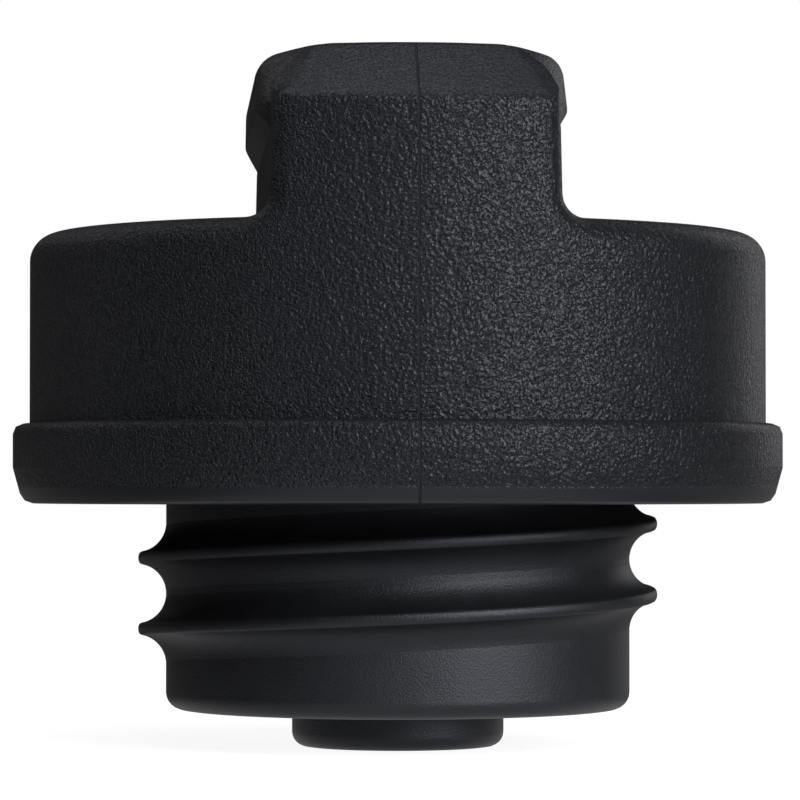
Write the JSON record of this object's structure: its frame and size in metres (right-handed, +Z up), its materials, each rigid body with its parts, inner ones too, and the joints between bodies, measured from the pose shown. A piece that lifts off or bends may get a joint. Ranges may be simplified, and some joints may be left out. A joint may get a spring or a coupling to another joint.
{
  "type": "locking fuel cap",
  "caption": "Round black screw-in fuel cap with a bar handle, a key lock in its top, a coarse threaded plug and breather valves.",
  "frame": {"origin": "on the cap's axis, at the underside of the valve housing's boss", "axes": "+Z up along the cap's axis, +Y along the bar handle away from the pictured end, +X to the right"},
  "size_m": [0.069, 0.069, 0.0605],
  "materials": {
    "cover_plastic": "fine moulded grain, satin",
    "plug_plastic": "smooth satin",
    "valve_plastic": "smooth satin",
    "vacuum_plastic": "natural, satin",
    "carrier_plastic": "natural, satin",
    "seal_rubber": "matt",
    "lock_zinc": "plated die casting",
    "bolt_zinc": "plain die casting",
    "face_steel": "brushed",
    "plated_steel": "zinc plated",
    "spring_steel": "drawn wire",
    "wafer_brass": "stamped"
  },
  "bodies": {
    "plug": {"threaded_plug": "plug_plastic", "seal_ring": "seal_rubber", "valve_housing": "valve_plastic", "spring_cap": "valve_plastic", "pressure_spring": "spring_steel"},
    "relief": {"pressure_valve": "valve_plastic", "valve_gasket": "seal_rubber", "vacuum_spring": "spring_steel"},
    "breather": {"vacuum_valve": "vacuum_plastic", "vacuum_clip": "plated_steel"},
    "grip": {"grip_cover": "cover_plastic", "retainer_ring": "plug_plastic", "lock_housing": "lock_zinc", "housing_clip": "plated_steel", "bolt_carrier": "carrier_plastic", "bolt_keeper": "plated_steel", "carrier_screws": "plated_steel"},
    "rotor": {"lock_rotor": "lock_zinc", "wafer_tumblers": "wafer_brass", "rotor_clip": "plated_steel", "rotor_face_cap": "face_steel", "shutter_pin": "plated_steel", "shutter_spring": "spring_steel", "lock_cam": "lock_zinc", "cam_screw": "plated_steel"},
    "shutter": {"dust_shutter": "face_steel"},
    "right_bolt": {"lock_bolt_right": "bolt_zinc"},
    "left_bolt": {"lock_bolt_left": "bolt_zinc"}
  },
  "joints": [
    {"name": "grip_turn", "type": "hinge", "parent": "plug", "child": "grip", "pos_m": [0, 0, 0.029], "axis": [0, 0, 1], "continuous": true},
    {"name": "key_turn", "type": "hinge", "parent": "grip", "child": "rotor", "pos_m": [0, 0, 0.05], "axis": [0, 0, 1], "range_deg": [0, 90]},
    {"name": "right_bolt_slide", "type": "slide", "parent": "grip", "child": "right_bolt", "axis": [1, 0, 0], "range_m": [0, 0.0025]},
    {"name": "left_bolt_slide", "type": "slide", "parent": "grip", "child": "left_bolt", "axis": [-1, 0, 0], "range_m": [0, 0.0025]},
    {"name": "shutter_swing", "type": "hinge", "parent": "rotor", "child": "shutter", "pos_m": [0.0026, 0, 0.0589], "axis": [0, -1, 0], "range_deg": [0, 80], "stiffness_Nm_per_rad": 0.0002, "springref_deg": -28.65, "deforming": ["shutter_spring"]},
    {"name": "pressure_lift", "type": "slide", "parent": "plug", "child": "relief", "axis": [0, 0, 1], "range_m": [0, 0.0015], "stiffness_N_per_m": 200, "springref_m": -0.004, "deforming": ["pressure_spring"]},
    {"name": "vacuum_drop", "type": "slide", "parent": "relief", "child": "breather", "axis": [0, 0, -1], "range_m": [0, 0.0008], "stiffness_N_per_m": 60, "springref_m": -0.002, "deforming": ["vacuum_spring"]}
  ],
  "couplings": [
    {"joint": "right_bolt_slide", "follows": "key_turn", "m_per_rad": 0.0015915},
    {"joint": "left_bolt_slide", "follows": "key_turn", "m_per_rad": 0.0015915}
  ]
}
